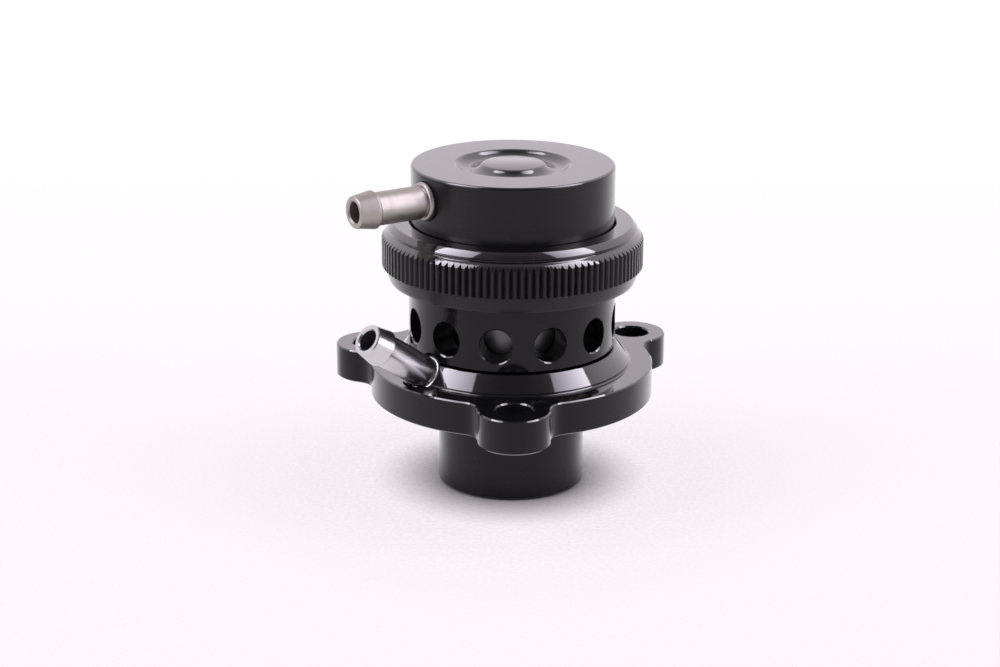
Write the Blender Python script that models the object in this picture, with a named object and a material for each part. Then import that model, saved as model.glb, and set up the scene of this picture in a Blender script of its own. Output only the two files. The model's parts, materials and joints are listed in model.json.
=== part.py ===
"""Blow-off valve with a swivelling cap.

A three-lug base with a plain spigot carries a perforated vent body.  A spring-loaded piston closes a seat at the
foot of the vent body, and a knurled clamp ring holds a round cap with its signal nipple on top.  The valve's own
axis is vertical, the front lug points along -Y, and the whole stands on the spigot's end face at height zero.
"""
import math

import bmesh
import bpy
from mathutils import Matrix, Vector

# Driving dimensions, in metres.  Heights are above the spigot's end face, radii are from the valve's axis, and
# azimuths are in degrees from the front lug, growing towards the right-hand lug.

# Gap left between pieces that touch, and the smaller one on each side of a seal or a thin washer
CLEAR = 0.0003
SEAL_CLEAR = 0.0002

# Base: spigot, three-lug flange and the conical collar round the foot of the vent body
SPIGOT_WALL = 0.0032
SPIGOT_LENGTH = 0.0169
SPIGOT_EDGE = 0.0005
FLANGE_THICKNESS = 0.0061
FLANGE_RADIUS = 0.0259
FLANGE_EDGE = 0.00025
LUG_CIRCLE = 0.028
LUG_RADIUS = 0.0064
LUG_FILLET = 0.0038
LUG_AZIMUTHS = (-109.5, 0.0, 124.4)
BOLT_HOLE_RADIUS = 0.0033
COLLAR_STEP = 0.0005
COLLAR_HEIGHT = 0.0032
COLLAR_LEDGE = 0.0004
COLLAR_FLARE = 0.00235

# Vent body: a plain tube with a row of drilled vents, a threaded head above and a threaded tail below.
# The least bridge left between two vents, at the bore, sets how many there are.
BODY_RADIUS = 0.0189
BODY_LENGTH = 0.0183
BODY_EDGE = 0.0002
BODY_WALL = 0.0052
TAIL_WALL = 0.0009
TAIL_LENGTH = 0.0036
SEAT_WIDTH = 0.0033
SEAT_STEP = 0.0002
VENT_RADIUS = 0.0031
VENT_BRIDGE = 0.0009
VENT_HEIGHT = 0.0047
VENT_AZIMUTH = -9.6
HEAD_STEP = 0.0021
HEAD_THICKNESS = 0.0046
THREAD_EDGE = 0.0004

# Clamp ring: levels of its outer form from the flat top down, and each level's wall outside the thread
RING_HEIGHT = 0.0107
RING_ABOVE_CAP_FLANGE = 0.00225
RING_LIP = 0.0014
RING_FACE_WALL = 0.00035
RING_BEVEL_WALL = 0.0013
RING_BEVEL_DROP = 0.00105
RING_GROOVE_WALL = 0.00105
RING_GROOVE_WIDTH = 0.0009
RING_SHOULDER_WALL = 0.0015
KNURL_WALL = 0.0024
KNURL_DEPTH = 0.00065
KNURL_LENGTH = 0.00515
KNURL_COUNT = 114
KNURL_CREST = 0.4
RING_BAND_WALL = 0.0013
RING_BAND_DROP = 0.0019
RING_FOOT_WALL = 0.001

# Cap: a round lid with a cove turned in its top, a chamber for the spring and a thin flange under the ring
CAP_FLANGE_WIDTH = 0.0026
CAP_HEIGHT = 0.0148
CAP_EDGE = 0.0005
CAP_FLANGE_THICKNESS = 0.002
CHAMBER_STEP = 0.0002
CAP_ROOF = 0.0037
CAP_BOSS_ROOM = 0.0016
CAP_BOSS_HEIGHT = 0.0013
COVE_INNER_RADIUS = 0.0056
COVE_OUTER_RADIUS = 0.0104
COVE_DEPTH = 0.0012

# Piston: a cup that slides in the vent body, with two sealing rings and a soft seal under its nose
PISTON_LENGTH = 0.0151
PISTON_WALL = 0.0018
PISTON_FLOOR = 0.0022
PISTON_EDGE = 0.0003
SEAL_RING_LEVELS = (0.009, 0.011)
SEAL_RING_WIDTH = 0.0016
SEAL_RING_DEPTH = 0.0012
NOSE_RIM = 0.001
NOSE_SEAL_GRIP = 0.0034
NOSE_SEAL_THICKNESS = 0.0014
RETAINER_ROOM = 0.0006
RETAINER_THICKNESS = 0.0012
SCREW_RADIUS = 0.0017
SCREW_HEAD_RADIUS = 0.0032
SCREW_SOCKET_RADIUS = 0.0014
SCREW_SOCKET_DEPTH = 0.0011

# Spring, with its seat washer and one preload shim under the cap's roof
WIRE_RADIUS = 0.0008
SPRING_ROOM = 0.0012
ACTIVE_TURNS = 5
END_PITCH = 0.00178
SPRING_SEAT_THICKNESS = 0.0006
SHIM_THICKNESS = 0.0006
WASHER_MARGIN = 0.0008

# Rubber rings: wire radius of each
FLANGE_RING_WIRE = 0.0008
FLANGE_RING_OFFSET = 0.0032
BODY_RING_WIRE = 0.00055
CAP_RING_WIRE = 0.0006
CAP_RING_INSET = 0.004
PISTON_RING_WIRE = 0.00055

# Hose nipples: turned barbs screwed into a flat spot-faced pocket
NIPPLE_BORE = 0.0019
NIPPLE_SHANK = 0.0022
NIPPLE_SHANK_LENGTH = 0.0022
NIPPLE_COLLAR = 0.0035
NIPPLE_COLLAR_LENGTH = 0.0011
NIPPLE_NECK = 0.00265
NIPPLE_NECK_LENGTH = 0.0005
NIPPLE_BARREL = 0.00295
NIPPLE_BARB = 0.0034
NIPPLE_BARB_LENGTH = 0.0041
NIPPLE_BARB_LAND = 0.0004
NIPPLE_TIP = 0.0028
NIPPLE_SEAL_RADIUS = 0.0034
NIPPLE_SEAL_THICKNESS = 0.0003
PORT_DRILL = 0.0012
CAP_NIPPLE_AZIMUTH = -57.7
CAP_NIPPLE_DROP = 0.0046
CAP_NIPPLE_REACH = 0.0153
CAP_POCKET_RADIUS = 0.0039
CAP_POCKET_DEPTH = 0.0008
BASE_NIPPLE_AZIMUTH = -51.0
BASE_NIPPLE_RISE = 35.0
BASE_NIPPLE_REACH = 0.0171
BASE_POCKET_RADIUS = 0.0042
BASE_POCKET_INSET = 0.00034
BASE_POCKET_ABOVE_FLANGE = 0.00046

# Facets: outer round pieces, inner ones, small ones, vent holes, rubber sections and turns of wire
ROUND = 36
INNER_ROUND = 24
SMALL_ROUND = 14
HOLE_ROUND = 12
SECTION_ROUND = 6
TURN_ROUND = 10

# Radii that follow from the sizes above, and as many vents as fit round the bore with a bridge between them
BORE_RADIUS = BODY_RADIUS - BODY_WALL
VENT_COUNT = int(math.tau * BORE_RADIUS / (2 * VENT_RADIUS + VENT_BRIDGE))
TAIL_RADIUS = BORE_RADIUS + TAIL_WALL
SEAT_RADIUS = BORE_RADIUS - SEAT_WIDTH
INLET_RADIUS = SEAT_RADIUS - SEAT_STEP
SPIGOT_RADIUS = INLET_RADIUS + SPIGOT_WALL
PISTON_RADIUS = BORE_RADIUS - CLEAR
NOSE_SEAL_RADIUS = PISTON_RADIUS - NOSE_RIM
NOSE_SEAL_HOLE = SEAT_RADIUS - NOSE_SEAL_GRIP
RETAINER_RADIUS = SEAT_RADIUS - RETAINER_ROOM
COIL_RADIUS = PISTON_RADIUS - PISTON_WALL - SPRING_ROOM - WIRE_RADIUS
CAP_BOSS_RADIUS = COIL_RADIUS - WIRE_RADIUS - CAP_BOSS_ROOM
CHAMBER_RADIUS = BORE_RADIUS + CHAMBER_STEP
HEAD_RADIUS = BODY_RADIUS + HEAD_STEP
CAP_RADIUS = HEAD_RADIUS - CAP_FLANGE_WIDTH
THREAD_RADIUS = HEAD_RADIUS + CLEAR
KNURL_RADIUS = THREAD_RADIUS + KNURL_WALL
COLLAR_TOP_RADIUS = BODY_RADIUS + COLLAR_LEDGE
COLLAR_FOOT_RADIUS = COLLAR_TOP_RADIUS + COLLAR_FLARE
BASE_POCKET_AT_RADIUS = COLLAR_TOP_RADIUS - BASE_POCKET_INSET
FLANGE_RING_RADIUS = SPIGOT_RADIUS + FLANGE_RING_OFFSET
CAP_RING_RADIUS = HEAD_RADIUS - CAP_RING_INSET
WASHER_HOLE = CAP_BOSS_RADIUS + CLEAR
WASHER_RADIUS = COIL_RADIUS + WIRE_RADIUS + WASHER_MARGIN

# Heights that follow from the sizes above
FLANGE_TOP = SPIGOT_LENGTH + FLANGE_THICKNESS
COLLAR_TOP = FLANGE_TOP + COLLAR_HEIGHT
BODY_FOOT = COLLAR_TOP + CLEAR
TAIL_FOOT = BODY_FOOT - TAIL_LENGTH
SOCKET_FLOOR = TAIL_FOOT - CLEAR
SEAT_TOP = BODY_FOOT - BODY_EDGE
BODY_TOP = BODY_FOOT + BODY_LENGTH
CAP_FOOT = BODY_TOP + CLEAR
CAP_FLANGE_TOP = CAP_FOOT + CAP_FLANGE_THICKNESS
CAP_TOP = CAP_FOOT + CAP_HEIGHT
CHAMBER_TOP = CAP_TOP - CAP_ROOF
RING_TOP = CAP_FLANGE_TOP + RING_ABOVE_CAP_FLANGE
RING_FOOT = RING_TOP - RING_HEIGHT
NOSE_SEAL_FOOT = SEAT_TOP + CLEAR
PISTON_FOOT = NOSE_SEAL_FOOT + CLEAR
PISTON_TOP = PISTON_FOOT + PISTON_LENGTH
NOSE_SEAL_TOP = NOSE_SEAL_FOOT + NOSE_SEAL_THICKNESS
FLOOR_UNDERSIDE = NOSE_SEAL_TOP + CLEAR
FLOOR_TOP = FLOOR_UNDERSIDE + PISTON_FLOOR
SHIM_TOP = CHAMBER_TOP - CLEAR
SHIM_FOOT = SHIM_TOP - SHIM_THICKNESS
SPRING_SEAT_TOP = SHIM_FOOT - CLEAR
SPRING_SEAT_FOOT = SPRING_SEAT_TOP - SPRING_SEAT_THICKNESS
SPRING_TOP = SPRING_SEAT_FOOT - CLEAR
SPRING_FOOT = FLOOR_TOP + CLEAR


def clear_scene():
    for old in list(bpy.data.objects):
        bpy.data.objects.remove(old)


def finish(name, colour, roughness, metallic):
    """A plain Principled material."""
    made = bpy.data.materials.new(name)
    made.use_nodes = True
    shader = made.node_tree.nodes["Principled BSDF"]
    shader.inputs["Base Color"].default_value = (*colour, 1.0)
    shader.inputs["Roughness"].default_value = roughness
    shader.inputs["Metallic"].default_value = metallic
    made.diffuse_color = (*colour, 1.0)
    return made


def direction(azimuth):
    """Unit vector in plan for an azimuth in degrees."""
    turn = math.radians(azimuth)
    return Vector((math.sin(turn), -math.cos(turn), 0.0))


def plan_centre():
    """Middle of the valve's plan from its axis.  The flange and its lugs reach further than the nipples."""
    lugs = [direction(azimuth) * LUG_CIRCLE for azimuth in LUG_AZIMUTHS]
    low = [min([lug[i] - LUG_RADIUS for lug in lugs] + [-FLANGE_RADIUS]) for i in (0, 1)]
    high = [max([lug[i] + LUG_RADIUS for lug in lugs] + [FLANGE_RADIUS]) for i in (0, 1)]
    return Vector(((low[0] + high[0]) / 2, (low[1] + high[1]) / 2, 0.0))


def arc(centre_radius, centre_height, radius, start, end, steps):
    """Points of an arc in a turned profile, from one angle to another in degrees."""
    points = []
    for i in range(steps + 1):
        turn = math.radians(start + (end - start) * i / steps)
        points.append((centre_radius + radius * math.cos(turn), centre_height + radius * math.sin(turn)))
    return points


def ring_section(radius, height, wire):
    """Profile of a rubber ring's round section."""
    return arc(radius, height, wire, 0, 360, SECTION_ROUND)[:-1]


def turned_mesh(profile, segments, closed):
    """Spin a profile of (radius, height) points round the Z axis.

    A closed profile is a loop clear of the axis.  An open one starts and ends on the axis.
    """
    bm = bmesh.new()
    points = [bm.verts.new((radius, 0.0, height)) for radius, height in profile]
    edges = [bm.edges.new(pair) for pair in zip(points, points[1:])]
    if closed:
        edges.append(bm.edges.new((points[-1], points[0])))
    bmesh.ops.spin(
        bm,
        geom=points + edges,
        axis=(0, 0, 1),
        cent=(0, 0, 0),
        angle=math.tau,
        steps=segments,
        use_merge=True,
    )
    bmesh.ops.remove_doubles(bm, verts=bm.verts, dist=1e-7)
    bmesh.ops.recalc_face_normals(bm, faces=bm.faces)
    return bm


def place(name, bm, look, parent, matrix=None):
    """Turn a bmesh into a named object under its parent empty."""
    mesh = bpy.data.meshes.new(name)
    bm.to_mesh(mesh)
    bm.free()
    mesh.shade_smooth()
    mesh.set_sharp_from_angle(angle=math.radians(30))
    piece = bpy.data.objects.new(name, mesh)
    bpy.context.scene.collection.objects.link(piece)
    piece.parent = parent
    if matrix is not None:
        piece.matrix_local = matrix
    if look:
        mesh.materials.append(look)
    return piece


def turned(name, profile, look, parent, segments=ROUND, closed=True, matrix=None):
    return place(name, turned_mesh(profile, segments, closed), look, parent, matrix)


def as_tool(tool):
    """Mark an object as a cutter or a blank that is only used by a Boolean."""
    tool.hide_render = True
    tool.display_type = "WIRE"
    return tool


def boolean(piece, tool, operation):
    step = piece.modifiers.new(f"{operation.lower()}_{tool.name}", "BOOLEAN")
    step.operation = operation
    step.solver = "EXACT"
    step.object = tool


def outward(azimuth, rise, radius, height):
    """Matrix that stands a turned piece's own axis outwards at a place on the valve.

    The piece leaves the valve at that radius and height, rising by so many degrees.
    """
    plan = direction(azimuth)
    slope = math.radians(rise)
    axis = plan * math.cos(slope) + Vector((0, 0, math.sin(slope)))
    side = Vector((0, 0, 1)).cross(plan)
    upright = axis.cross(side)
    turn = Matrix((side, upright, axis)).transposed()
    return Matrix.Translation(plan * radius + Vector((0, 0, height))) @ turn.to_4x4()


def empty(name, parent, at=(0, 0, 0)):
    made = bpy.data.objects.new(name, None)
    bpy.context.scene.collection.objects.link(made)
    made.parent = parent
    made.location = at
    return made


def flange_outline():
    """Plan of the flange: disc and lugs joined by concave fillets, as arcs that meet tangentially."""
    near = FLANGE_RADIUS + LUG_FILLET
    far = LUG_RADIUS + LUG_FILLET
    at_axis = math.degrees(math.acos((near**2 + LUG_CIRCLE**2 - far**2) / (2 * near * LUG_CIRCLE)))
    at_lug = math.degrees(math.acos((far**2 + LUG_CIRCLE**2 - near**2) / (2 * far * LUG_CIRCLE)))
    disc_step = 360 / ROUND
    points = []
    for lug, following in zip(LUG_AZIMUTHS, LUG_AZIMUTHS[1:] + (LUG_AZIMUTHS[0] + 360,)):
        middle = direction(lug) * LUG_CIRCLE
        before = direction(lug - at_axis) * near
        after = direction(lug + at_axis) * near
        heading = lug - 90
        points += arc(before.x, before.y, LUG_FILLET, heading - at_axis + 180, heading + at_lug, 4)
        points += arc(middle.x, middle.y, LUG_RADIUS, heading + at_lug - 180, heading + 180 - at_lug, 12)[1:]
        points += arc(after.x, after.y, LUG_FILLET, heading - at_lug, heading + at_axis - 180, 4)[1:]
        span = following - lug - 2 * at_axis
        steps = max(2, round(span / disc_step))
        start = heading + at_axis
        points += arc(0, 0, FLANGE_RADIUS, start, start + span, steps)[1:-1]
    return points


def flange_plate(look, parent):
    """The flat plate with its three lugs, its edges broken by a small chamfer."""
    bm = bmesh.new()
    face = bm.faces.new([bm.verts.new((x, y, SPIGOT_LENGTH)) for x, y in flange_outline()])
    raised = bmesh.ops.extrude_face_region(bm, geom=[face])
    lifted = [item for item in raised["geom"] if isinstance(item, bmesh.types.BMVert)]
    bmesh.ops.translate(bm, verts=lifted, vec=(0, 0, FLANGE_THICKNESS))
    bmesh.ops.recalc_face_normals(bm, faces=bm.faces)
    plate = place("base_flange", bm, look, parent)
    bevel = plate.modifiers.new("broken_edge", "BEVEL")
    bevel.width = FLANGE_EDGE
    bevel.segments = 1
    bevel.limit_method = "ANGLE"
    bevel.angle_limit = math.radians(60)
    return plate


def base_flange(look, parent, pocket):
    """Plate, spigot and collar in one piece, bored and faced for the vent body, the bolts and the nipple."""
    plate = flange_plate(look, parent)
    inside_plate = SPIGOT_LENGTH + FLANGE_THICKNESS / 2
    blank = as_tool(turned("spigot_blank", [
        (0, 0),
        (SPIGOT_RADIUS - SPIGOT_EDGE, 0),
        (SPIGOT_RADIUS, SPIGOT_EDGE),
        (SPIGOT_RADIUS, inside_plate),
        (COLLAR_FOOT_RADIUS, inside_plate),
        (COLLAR_FOOT_RADIUS, FLANGE_TOP + COLLAR_STEP),
        (COLLAR_TOP_RADIUS, COLLAR_TOP),
        (0, COLLAR_TOP),
    ], None, parent, closed=False))
    socket_radius = TAIL_RADIUS + CLEAR
    bore = as_tool(turned("base_bore", [
        (0, -CLEAR),
        (INLET_RADIUS, -CLEAR),
        (INLET_RADIUS, SOCKET_FLOOR),
        (socket_radius, SOCKET_FLOOR),
        (socket_radius, COLLAR_TOP + CLEAR),
        (0, COLLAR_TOP + CLEAR),
    ], None, parent, closed=False))
    half_groove = FLANGE_RING_WIRE + SEAL_CLEAR
    groove_roof = SPIGOT_LENGTH + 2 * FLANGE_RING_WIRE - CLEAR + SEAL_CLEAR
    groove = as_tool(turned("flange_groove", [
        (FLANGE_RING_RADIUS - half_groove, SPIGOT_LENGTH - CLEAR),
        (FLANGE_RING_RADIUS + half_groove, SPIGOT_LENGTH - CLEAR),
        (FLANGE_RING_RADIUS + half_groove, groove_roof),
        (FLANGE_RING_RADIUS - half_groove, groove_roof),
    ], None, parent))
    boolean(plate, bolt_drills(parent), "DIFFERENCE")
    boolean(plate, blank, "UNION")
    boolean(plate, groove, "DIFFERENCE")
    boolean(plate, pocket, "DIFFERENCE")
    boolean(plate, bore, "DIFFERENCE")
    return plate


def bolt_drills(parent):
    """The three bolt drills as one tool, each upright in the middle of its lug."""
    bm = bmesh.new()
    for azimuth in LUG_AZIMUTHS:
        middle = direction(azimuth) * LUG_CIRCLE + Vector((0, 0, SPIGOT_LENGTH + FLANGE_THICKNESS / 2))
        bmesh.ops.create_cone(
            bm,
            cap_ends=True,
            segments=SMALL_ROUND,
            radius1=BOLT_HOLE_RADIUS,
            radius2=BOLT_HOLE_RADIUS,
            depth=FLANGE_THICKNESS + 2 * CLEAR,
            matrix=Matrix.Translation(middle),
        )
    return as_tool(place("bolt_drills", bm, None, parent))


def vent_drills(parent):
    """All the vent drills as one tool: each lies along a radius and passes through the tube's wall."""
    bm = bmesh.new()
    middle = (BORE_RADIUS + BODY_RADIUS) / 2
    depth = BODY_RADIUS - BORE_RADIUS + 4 * CLEAR
    for i in range(VENT_COUNT):
        azimuth = VENT_AZIMUTH + 360 * i / VENT_COUNT
        bmesh.ops.create_cone(
            bm,
            cap_ends=True,
            segments=HOLE_ROUND,
            radius1=VENT_RADIUS,
            radius2=VENT_RADIUS,
            depth=depth,
            matrix=outward(azimuth, 0, middle, BODY_FOOT + VENT_HEIGHT),
        )
    return as_tool(place("vent_drills", bm, None, parent))


def vent_body(look, parent, pocket):
    """Tube with its tail for the base, its seat, its row of vents and its head for the ring and the cap."""
    tail_groove_radius = TAIL_RADIUS - 2 * BODY_RING_WIRE - SEAL_CLEAR / 2
    tail_groove_foot = TAIL_FOOT + THREAD_EDGE
    tail_groove_top = tail_groove_foot + 2 * (BODY_RING_WIRE + SEAL_CLEAR)
    head_foot = BODY_TOP - HEAD_THICKNESS
    top_groove_floor = BODY_TOP - 2 * CAP_RING_WIRE
    top_groove_half = CAP_RING_WIRE + SEAL_CLEAR
    body = turned("vent_body", [
        (SEAT_RADIUS, TAIL_FOOT),
        (TAIL_RADIUS, TAIL_FOOT),
        (TAIL_RADIUS, tail_groove_foot),
        (tail_groove_radius, tail_groove_foot),
        (tail_groove_radius, tail_groove_top),
        (TAIL_RADIUS, tail_groove_top),
        (TAIL_RADIUS, BODY_FOOT),
        (BODY_RADIUS - BODY_EDGE, BODY_FOOT),
        (BODY_RADIUS, BODY_FOOT + BODY_EDGE),
        (BODY_RADIUS, head_foot),
        (HEAD_RADIUS - THREAD_EDGE, head_foot),
        (HEAD_RADIUS, head_foot + THREAD_EDGE),
        (HEAD_RADIUS, BODY_TOP - THREAD_EDGE),
        (HEAD_RADIUS - THREAD_EDGE, BODY_TOP),
        (CAP_RING_RADIUS + top_groove_half, BODY_TOP),
        (CAP_RING_RADIUS + top_groove_half, top_groove_floor),
        (CAP_RING_RADIUS - top_groove_half, top_groove_floor),
        (CAP_RING_RADIUS - top_groove_half, BODY_TOP),
        (BORE_RADIUS, BODY_TOP),
        (BORE_RADIUS, SEAT_TOP),
        (SEAT_RADIUS, SEAT_TOP),
    ], look, parent)
    boolean(body, vent_drills(parent), "DIFFERENCE")
    boolean(body, pocket, "DIFFERENCE")
    return body


def clamp_ring(look, parent):
    """Turned ring whose widest band is knurled with straight grooves.

    The ring is spun with one segment for each groove.  On the knurled band each segment is one tooth: a groove's
    root at both ends and a flat crest between, cut out through the shoulder's bevel above and square below.
    """
    root = KNURL_RADIUS - KNURL_DEPTH
    bevel_foot = RING_TOP - RING_BEVEL_DROP
    shoulder = bevel_foot - RING_GROOVE_WIDTH
    crest_top = shoulder - (KNURL_WALL - RING_SHOULDER_WALL)
    root_top = crest_top + KNURL_DEPTH
    crest_foot = crest_top - KNURL_LENGTH
    lip_radius = CAP_RADIUS + CLEAR
    profile = [
        (root, root_top),
        (THREAD_RADIUS + RING_SHOULDER_WALL, shoulder),
        (THREAD_RADIUS + RING_GROOVE_WALL, shoulder + RING_GROOVE_WIDTH / 2),
        (THREAD_RADIUS + RING_BEVEL_WALL, bevel_foot),
        (THREAD_RADIUS + RING_FACE_WALL, RING_TOP),
        (lip_radius, RING_TOP),
        (lip_radius, RING_TOP - RING_LIP),
        (THREAD_RADIUS, RING_TOP - RING_LIP),
        (THREAD_RADIUS, RING_FOOT),
        (THREAD_RADIUS + RING_FOOT_WALL, RING_FOOT),
        (THREAD_RADIUS + RING_BAND_WALL, crest_foot - RING_BAND_DROP),
        (root, crest_foot),
    ]
    pitch = 360 / KNURL_COUNT
    bm = bmesh.new()
    spokes = []
    for i in range(KNURL_COUNT):
        spoke = [bm.verts.new(direction(i * pitch) * radius + Vector((0, 0, height))) for radius, height in profile]
        spokes.append(spoke)
    for i, spoke in enumerate(spokes):
        following = spokes[(i + 1) % KNURL_COUNT]
        for j in range(1, len(profile) - 1):
            bm.faces.new((spoke[j], spoke[j + 1], following[j + 1], following[j]))
        crest = []
        for share in ((1 - KNURL_CREST) / 2, (1 + KNURL_CREST) / 2):
            out = direction((i + share) * pitch) * KNURL_RADIUS
            crest.append([bm.verts.new(out + Vector((0, 0, height))) for height in (crest_top, crest_foot)])
        (first_top, first_foot), (last_top, last_foot) = crest
        bm.faces.new((spoke[0], first_top, last_top, following[0], following[1], spoke[1]))
        bm.faces.new((spoke[0], spoke[-1], first_foot, first_top))
        bm.faces.new((first_top, first_foot, last_foot, last_top))
        bm.faces.new((last_top, last_foot, following[-1], following[0]))
        bm.faces.new((spoke[-1], following[-1], last_foot, first_foot))
    bmesh.ops.recalc_face_normals(bm, faces=bm.faces)
    return place("clamp_ring", bm, look, parent)


def top_cap(look, parent, pocket):
    """Lid with a cove round a flat middle, a bored chamber with a boss for the spring's washers, and a flange."""
    half_cove = (COVE_OUTER_RADIUS - COVE_INNER_RADIUS) / 2
    cove_radius = (half_cove**2 + COVE_DEPTH**2) / (2 * COVE_DEPTH)
    cove_middle = (COVE_OUTER_RADIUS + COVE_INNER_RADIUS) / 2
    half_angle = math.degrees(math.asin(half_cove / cove_radius))
    cove = arc(cove_middle, CAP_TOP - COVE_DEPTH + cove_radius, cove_radius, 270 - half_angle, 270 + half_angle, 6)
    edge = arc(CAP_RADIUS - CAP_EDGE, CAP_TOP - CAP_EDGE, CAP_EDGE, 90, 0, 2)
    profile = [(0, CAP_TOP)] + cove + edge + [
        (CAP_RADIUS, CAP_FLANGE_TOP),
        (HEAD_RADIUS, CAP_FLANGE_TOP),
        (HEAD_RADIUS, CAP_FOOT),
        (CHAMBER_RADIUS, CAP_FOOT),
        (CHAMBER_RADIUS, CHAMBER_TOP),
        (CAP_BOSS_RADIUS, CHAMBER_TOP),
        (CAP_BOSS_RADIUS, CHAMBER_TOP - CAP_BOSS_HEIGHT),
        (0, CHAMBER_TOP - CAP_BOSS_HEIGHT),
    ]
    cap = turned("top_cap", profile, look, parent, closed=False)
    boolean(cap, pocket, "DIFFERENCE")
    return cap


def port_tool(name, pocket_radius, reach, matrix, parent):
    """Stepped tool for a nipple: a spot face, a hole for its shank and a fine drill that goes on to the bore."""
    hole = NIPPLE_SHANK + CLEAR
    hole_depth = NIPPLE_SHANK_LENGTH + CLEAR
    return as_tool(turned(name, [
        (0, -reach),
        (PORT_DRILL, -reach),
        (PORT_DRILL, -hole_depth),
        (hole, -hole_depth),
        (hole, 0),
        (pocket_radius, 0),
        (pocket_radius, 3 * pocket_radius),
        (0, 3 * pocket_radius),
    ], None, parent, SMALL_ROUND, False, matrix))


def nipple(name, reach, look, parent, matrix):
    """Barbed hose nipple turned from bar: shank, rounded collar, neck, barrel and one barb.

    Its own zero is the pocket's face, and reach is how far its end stands out from there.
    """
    collar_foot = 2 * SEAL_CLEAR + NIPPLE_SEAL_THICKNESS
    collar_top = collar_foot + NIPPLE_COLLAR_LENGTH
    neck_top = collar_top + NIPPLE_NECK_LENGTH
    barb_foot = reach - NIPPLE_BARB_LENGTH
    half_collar = NIPPLE_COLLAR_LENGTH / 2
    collar = arc(NIPPLE_COLLAR - half_collar, collar_foot + half_collar, half_collar, -90, 90, 4)
    profile = [
        (NIPPLE_BORE, -NIPPLE_SHANK_LENGTH),
        (NIPPLE_SHANK, -NIPPLE_SHANK_LENGTH),
        (NIPPLE_SHANK, collar_foot),
    ] + collar + [
        (NIPPLE_NECK, collar_top),
        (NIPPLE_NECK, neck_top),
        (NIPPLE_BARREL, neck_top),
        (NIPPLE_BARREL, barb_foot),
        (NIPPLE_BARB, barb_foot + CLEAR),
        (NIPPLE_BARB, barb_foot + CLEAR + NIPPLE_BARB_LAND),
        (NIPPLE_TIP, reach),
        (NIPPLE_BORE, reach),
    ]
    return turned(name, profile, look, parent, SMALL_ROUND, matrix=matrix)


def nipple_seal(name, look, parent, matrix):
    """Flat washer between a nipple's collar and its pocket."""
    foot = SEAL_CLEAR
    top = foot + NIPPLE_SEAL_THICKNESS
    hole = NIPPLE_SHANK + SEAL_CLEAR
    profile = [(hole, foot), (NIPPLE_SEAL_RADIUS, foot), (NIPPLE_SEAL_RADIUS, top), (hole, top)]
    return turned(name, profile, look, parent, SMALL_ROUND, matrix=matrix)


def washer(name, hole, radius, foot, top, look, parent):
    return turned(name, [(hole, foot), (radius, foot), (radius, top), (hole, top)], look, parent, INNER_ROUND)


def piston(look, parent):
    """Cup with two ring grooves in its skirt and a recess for the soft seal under its floor."""
    groove_radius = PISTON_RADIUS - SEAL_RING_DEPTH
    recess_radius = NOSE_SEAL_RADIUS + CLEAR
    screw_hole = SCREW_RADIUS + CLEAR
    skirt = [(PISTON_RADIUS - PISTON_EDGE, PISTON_FOOT), (PISTON_RADIUS, PISTON_FOOT + PISTON_EDGE)]
    for level in SEAL_RING_LEVELS:
        low = PISTON_FOOT + level - SEAL_RING_WIDTH / 2
        high = low + SEAL_RING_WIDTH
        skirt += [(PISTON_RADIUS, low), (groove_radius, low), (groove_radius, high), (PISTON_RADIUS, high)]
    inside = PISTON_RADIUS - PISTON_WALL
    profile = [(recess_radius, PISTON_FOOT)] + skirt + [
        (PISTON_RADIUS, PISTON_TOP - PISTON_EDGE),
        (PISTON_RADIUS - PISTON_EDGE, PISTON_TOP),
        (inside, PISTON_TOP),
        (inside, FLOOR_TOP),
        (screw_hole, FLOOR_TOP),
        (screw_hole, FLOOR_UNDERSIDE),
        (recess_radius, FLOOR_UNDERSIDE),
    ]
    return turned("piston", profile, look, parent, INNER_ROUND)


def retainer_levels():
    """Foot of the retainer and of the step on which it holds the soft seal."""
    step = NOSE_SEAL_FOOT - CLEAR
    return step - RETAINER_THICKNESS, step


def nose_retainer(look, parent):
    """Stepped plate that clamps the soft seal to the piston.

    Its countersink clears the sunk screw's 45 degree head all round.
    """
    foot, step = retainer_levels()
    hole = SCREW_RADIUS + CLEAR
    sink = SCREW_HEAD_RADIUS + CLEAR + CLEAR * math.sqrt(2)
    hub = NOSE_SEAL_HOLE - CLEAR
    profile = [
        (sink, foot),
        (RETAINER_RADIUS - CLEAR, foot),
        (RETAINER_RADIUS, foot + CLEAR),
        (RETAINER_RADIUS, step),
        (hub, step),
        (hub, NOSE_SEAL_TOP),
        (hole, NOSE_SEAL_TOP),
        (hole, foot + sink - hole),
    ]
    return turned("nose_retainer", profile, look, parent, INNER_ROUND)


def nose_screw(look, parent):
    """Countersunk screw with a hexagon socket, its thread left plain."""
    foot = retainer_levels()[0] + CLEAR
    taper = SCREW_HEAD_RADIUS - SCREW_RADIUS
    screw = turned("nose_screw", [
        (0, foot),
        (SCREW_HEAD_RADIUS, foot),
        (SCREW_RADIUS, foot + taper),
        (SCREW_RADIUS, FLOOR_TOP - CLEAR),
        (0, FLOOR_TOP - CLEAR),
    ], look, parent, SMALL_ROUND, False)
    socket = as_tool(turned("socket_tool", [
        (0, foot - CLEAR),
        (SCREW_SOCKET_RADIUS, foot - CLEAR),
        (SCREW_SOCKET_RADIUS, foot + SCREW_SOCKET_DEPTH),
        (0, foot + SCREW_SOCKET_DEPTH),
    ], None, parent, 6, False))
    boolean(screw, socket, "DIFFERENCE")
    return screw


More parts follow.
